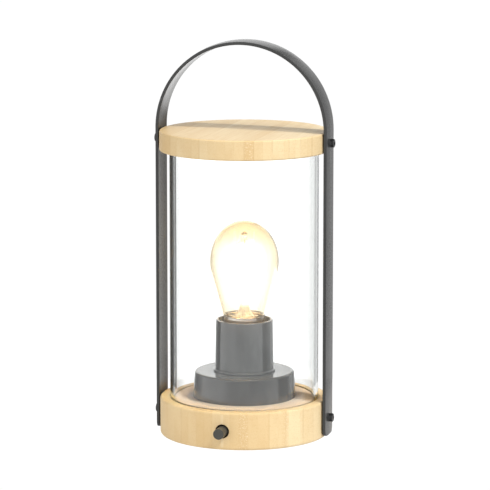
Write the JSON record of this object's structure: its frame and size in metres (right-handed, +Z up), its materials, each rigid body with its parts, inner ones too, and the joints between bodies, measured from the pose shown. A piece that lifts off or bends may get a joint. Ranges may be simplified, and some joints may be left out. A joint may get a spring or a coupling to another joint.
{
  "type": "cordless table lamp",
  "caption": "Cordless table lamp: bamboo base and lid, clear glass cylinder, filament bulb, and a flat metal strap as handle.",
  "frame": {"origin": "on the lamp's axis, on the surface it stands on", "axes": "+Z up, -Y the front with the push button, +Y the rear with the charging port, +X and -X the strap's legs"},
  "size_m": [0.12, 0.1194, 0.2583],
  "materials": {
    "bamboo_base": "satin lacquer",
    "bamboo_lid": "satin lacquer",
    "black_plastic": "matte",
    "white_plastic": "matte",
    "button_black": "satin",
    "steel": "plain",
    "black_steel": "black oxide",
    "rubber": "matte",
    "silicone": "milky",
    "battery_foil": "satin foil pouch",
    "board_green": "solder mask",
    "lead_red": "matte",
    "lead_white": "matte",
    "clear_glass": "polished",
    "anthracite_metal": "satin powder coat",
    "brass": "plain",
    "holder_grey": "gloss",
    "ceramic": "glazed ceramic",
    "amber_glass": "polished, amber tinted",
    "stem_glass": "polished",
    "black_glass": "glassy",
    "nickelled_cap": "nickel plated",
    "phosphor": "phosphor coated"
  },
  "bodies": {
    "lamp": {"base_drum": "bamboo_base", "bottom_cover": "black_plastic", "cover_screws": "steel", "foot_ring": "rubber", "battery_pack": "battery_foil", "control_board": "board_green", "board_chips": "black_plastic", "board_screws": "steel", "usb_receptacle": "steel", "usb_bezel": "black_plastic", "push_switch": "black_plastic", "battery_leads": "lead_red", "switch_leads": "lead_white", "lamp_leads": "lead_white", "lower_gasket": "silicone", "glass_cylinder": "clear_glass", "upper_gasket": "silicone", "lid_disc": "bamboo_lid", "strap_handle": "anthracite_metal", "strap_screws": "black_steel", "threaded_inserts": "brass", "lampholder_cup": "holder_grey", "threaded_nipple": "brass", "nipple_washer": "steel", "nipple_nut": "brass", "lampholder_body": "holder_grey", "holder_insulator": "ceramic", "screw_shell": "brass", "centre_contact": "brass", "terminal_screws": "steel"},
    "button": {"power_button": "button_black", "switch_plunger": "white_plastic"},
    "bulb_glass": {"bulb_envelope": "amber_glass"},
    "bulb_core": {"bulb_cap": "nickelled_cap", "cap_insulator": "black_glass", "tip_contact": "steel", "bulb_stem": "stem_glass", "filament_wires": "steel", "led_filaments": "phosphor"}
  },
  "joints": [
    {"name": "button_press", "type": "slide", "parent": "lamp", "child": "button", "axis": [0, 1, 0], "range_m": [0, 0.002], "stiffness_N_per_m": 500, "springref_m": -0.001},
    {"name": "bulb_lift", "type": "slide", "parent": "lamp", "child": "bulb_glass", "axis": [0, 0, 1], "range_m": [0, 0.01811]},
    {"name": "bulb_turn", "type": "hinge", "parent": "bulb_glass", "child": "bulb_core", "pos_m": [0, 0, 0.066], "axis": [0, 0, 1], "range_deg": [0, 1800]}
  ],
  "couplings": [
    {"joint": "bulb_lift", "follows": "bulb_turn", "m_per_rad": 0.00057614}
  ]
}
